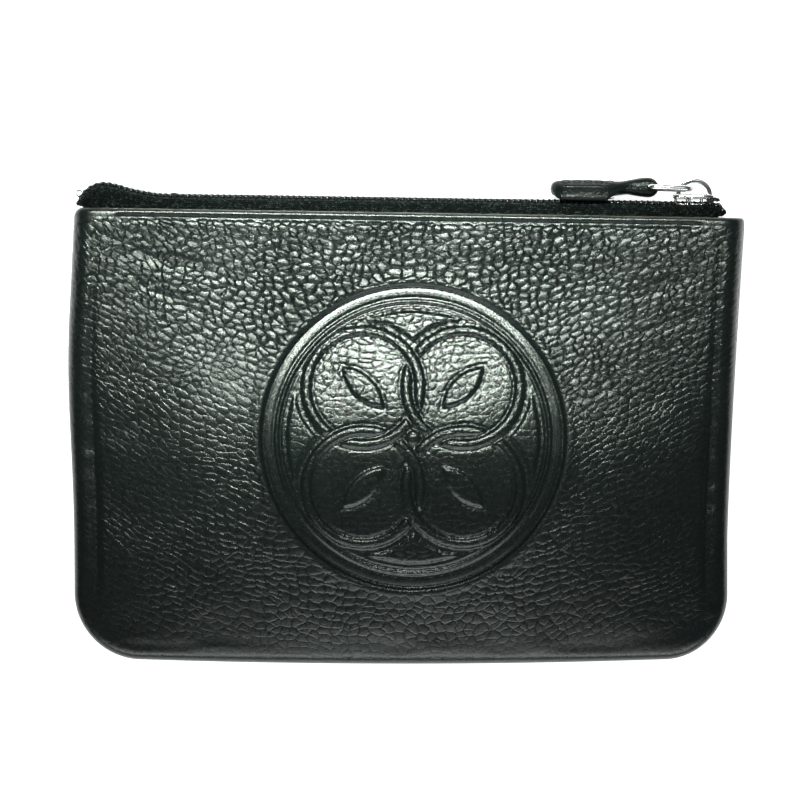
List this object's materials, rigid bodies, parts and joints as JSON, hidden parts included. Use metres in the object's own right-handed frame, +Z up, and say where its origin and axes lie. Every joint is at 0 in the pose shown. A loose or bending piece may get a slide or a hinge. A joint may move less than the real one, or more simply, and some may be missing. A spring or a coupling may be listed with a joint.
{
  "type": "zip-top coin purse",
  "caption": "Flat leather pouch with rounded bottom corners, a zip along its top edge with a leather pull tab, and a round embossed medallion on its front, for carrying coins.",
  "frame": {"origin": "on the table under the middle of the body, the purse lying on its back", "axes": "+X along the mouth towards the closed end of the zip, +Y from the bottom seam up to the mouth, +Z up out of the front face"},
  "size_m": [0.1351, 0.0972, 0.0146],
  "materials": {
    "grained_leather": "black pebble-grained leather, semi-gloss",
    "tab_leather": "black leather with raw cut edges",
    "lining_cloth": "plain woven cloth",
    "zip_tape": "woven herringbone tape",
    "nylon_coil": "dyed nylon, satin",
    "core_cord": "braided cord",
    "sewing_thread": "twisted polyester thread",
    "plated_metal": "polished nickel plate",
    "filler_board": "stiff fibre board"
  },
  "bodies": {
    "back_wall": {"back_panel": "grained_leather", "back_lining": "lining_cloth", "back_mouth_stitches": "sewing_thread", "edge_seam_stitches": "sewing_thread", "lining_seam_stitches": "sewing_thread", "back_zip_tape": "zip_tape", "back_zip_coil": "nylon_coil", "back_coil_core": "core_cord", "back_coil_thread": "sewing_thread", "zip_left_bartack": "sewing_thread", "zip_right_bartack": "sewing_thread"},
    "front_wall": {"front_panel": "grained_leather", "front_lining": "lining_cloth", "front_mouth_stitches": "sewing_thread", "front_zip_tape": "zip_tape", "front_zip_coil": "nylon_coil", "front_coil_core": "core_cord", "front_coil_thread": "sewing_thread"},
    "slider": {"slider_body": "plated_metal", "slider_bail": "plated_metal"},
    "pull_loop": {"pull_loop": "plated_metal"},
    "pull_tab": {"pull_tab_leather": "tab_leather", "pull_tab_filler": "filler_board", "pull_tab_stitches": "sewing_thread"}
  },
  "joints": [
    {"name": "slider_travel", "type": "slide", "parent": "back_wall", "child": "slider", "axis": [-0.9999, 0.0157, 0], "range_m": [0, 0.0985], "deforming": ["back_zip_tape", "back_zip_coil", "back_coil_core", "back_coil_thread"]},
    {"name": "mouth_open", "type": "hinge", "parent": "back_wall", "child": "front_wall", "pos_m": [0, -0.045, 0.0056], "axis": [1, 0, 0], "range_deg": [0, 12], "deforming": ["front_zip_tape", "front_zip_coil", "front_coil_core", "front_coil_thread"]},
    {"name": "pull_loop_swing", "type": "hinge", "parent": "slider", "child": "pull_loop", "pos_m": [0.0561, 0.0499, 0.0056], "axis": [0, 0, -1], "range_deg": [0, 110]},
    {"name": "pull_tab_swing", "type": "hinge", "parent": "pull_loop", "child": "pull_tab", "pos_m": [0.0478, 0.0502, 0.0056], "axis": [0, 0, -1], "range_deg": [0, 60]}
  ],
  "couplings": [
    {"joint": "mouth_open", "follows": "slider_travel", "rad_per_m": 2.1263}
  ]
}
